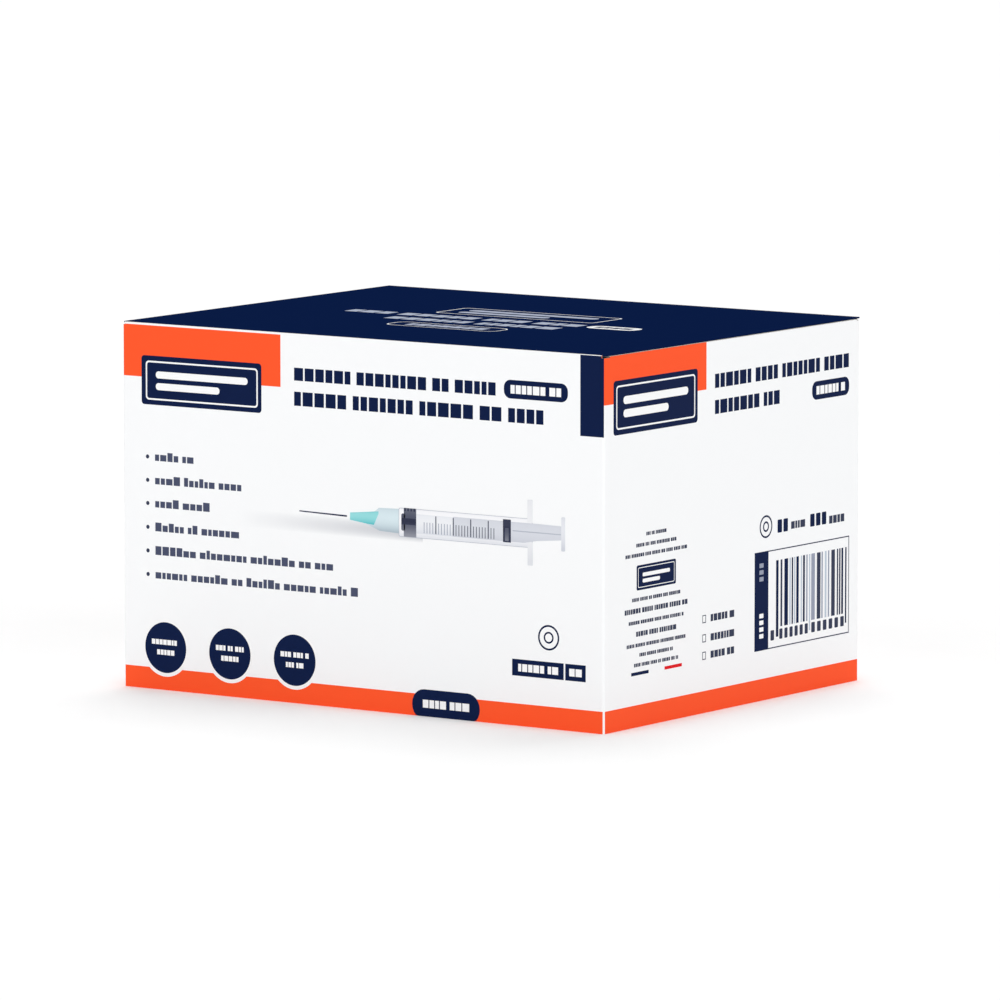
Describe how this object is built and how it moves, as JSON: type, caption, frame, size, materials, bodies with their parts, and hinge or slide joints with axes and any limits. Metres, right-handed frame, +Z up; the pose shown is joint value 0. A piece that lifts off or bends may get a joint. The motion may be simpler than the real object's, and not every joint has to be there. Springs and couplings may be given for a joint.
{
  "type": "syringe carton",
  "caption": "Printed folding carton of wrapped single-use syringes, with a hinged tuck-in lid and a locking bottom.",
  "frame": {"origin": "middle of the base, on the surface that the carton stands on", "axes": "+X along the long front wall, the front wall faces -Y, the lid's crease runs along X at the back, +Z up"},
  "size_m": [0.25, 0.196, 0.158],
  "materials": {
    "printed_board": "white coated board, printed",
    "lid_board": "coated board, printed dark blue",
    "pack_paper": "medical paper",
    "pack_film": "clear soft film",
    "syringe_clear": "clear moulded plastic",
    "syringe_white": "natural moulded plastic",
    "syringe_rubber": "black rubber",
    "needle_hub": "turquoise moulded plastic"
  },
  "bodies": {
    "carton": {"carton_body": "printed_board", "pack_row_01": "pack_paper", "pack_row_02": "pack_paper", "pack_row_03": "pack_paper", "pack_row_04": "pack_paper", "pack_row_05": "pack_paper", "pack_row_06": "pack_paper", "pack_row_07": "pack_paper", "pack_row_08": "pack_paper", "pack_row_09": "pack_paper", "pack_row_10": "pack_paper", "pack_row_11": "pack_paper", "pack_row_12": "pack_paper", "pack_row_13": "pack_paper", "pack_row_14": "pack_paper", "pack_row_15": "pack_paper", "pack_row_16": "pack_paper", "loose_pack_1": "pack_film", "loose_pack_2": "pack_film", "loose_pack_3": "pack_film", "loose_pack_4": "pack_film"},
    "lid": {"lid": "lid_board"}
  },
  "joints": [
    {"name": "lid_crease", "type": "hinge", "parent": "carton", "child": "lid", "pos_m": [0, 0.098, 0.158], "axis": [-1, 0, 0], "range_deg": [0, 180]}
  ]
}
